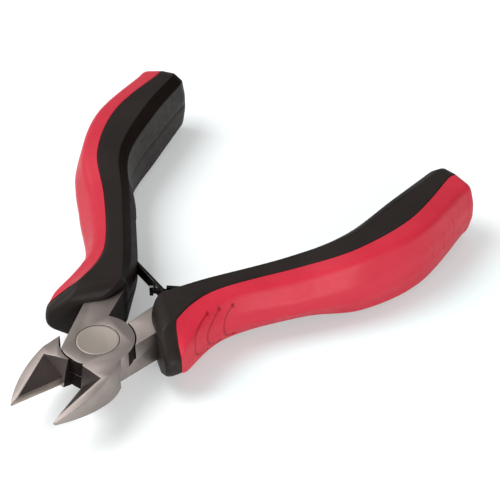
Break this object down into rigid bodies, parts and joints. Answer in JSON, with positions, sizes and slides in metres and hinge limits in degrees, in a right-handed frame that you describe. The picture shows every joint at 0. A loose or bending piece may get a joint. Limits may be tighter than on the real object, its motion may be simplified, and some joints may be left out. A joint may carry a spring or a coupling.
{
  "type": "mini diagonal cutters",
  "caption": "Hand cutters with a flush-riveted lap joint, bevelled side-cutting jaws, hooked leaf springs that hold them open and two-colour moulded grips.",
  "frame": {"origin": "centre of the pivot rivet on the flat back of the joint", "axes": "+Z along the pivot, out of the flat back towards the flush rivet head side; +X from the pivot towards the handles, so the jaws point to -X; +Y towards the handle whose half lies on top in the lap joint"},
  "size_m": [0.1053, 0.087, 0.0162],
  "materials": {
    "lever_steel": "satin ground, warm grey",
    "rivet_steel": "satin, ground flush",
    "spring_black": "black oxide, satin",
    "sleeve_black": "matte moulded",
    "panel_red": "satin moulded"
  },
  "bodies": {
    "lower_half": {"lower_lever": "lever_steel", "pivot_rivet": "rivet_steel", "right_grip_sleeve": "sleeve_black", "right_grip_panel": "panel_red", "right_spring": "spring_black", "right_spring_rivet": "rivet_steel"},
    "upper_half": {"upper_lever": "lever_steel", "left_grip_sleeve": "sleeve_black", "left_grip_panel": "panel_red", "left_spring": "spring_black", "left_spring_rivet": "rivet_steel"}
  },
  "joints": [
    {"name": "jaw_pivot", "type": "hinge", "parent": "lower_half", "child": "upper_half", "pos_m": [0, 0, 0], "axis": [0, 0, 1], "range_deg": [-24.4, 0], "stiffness_Nm_per_rad": 0.8, "deforming": ["left_spring", "right_spring"]}
  ]
}
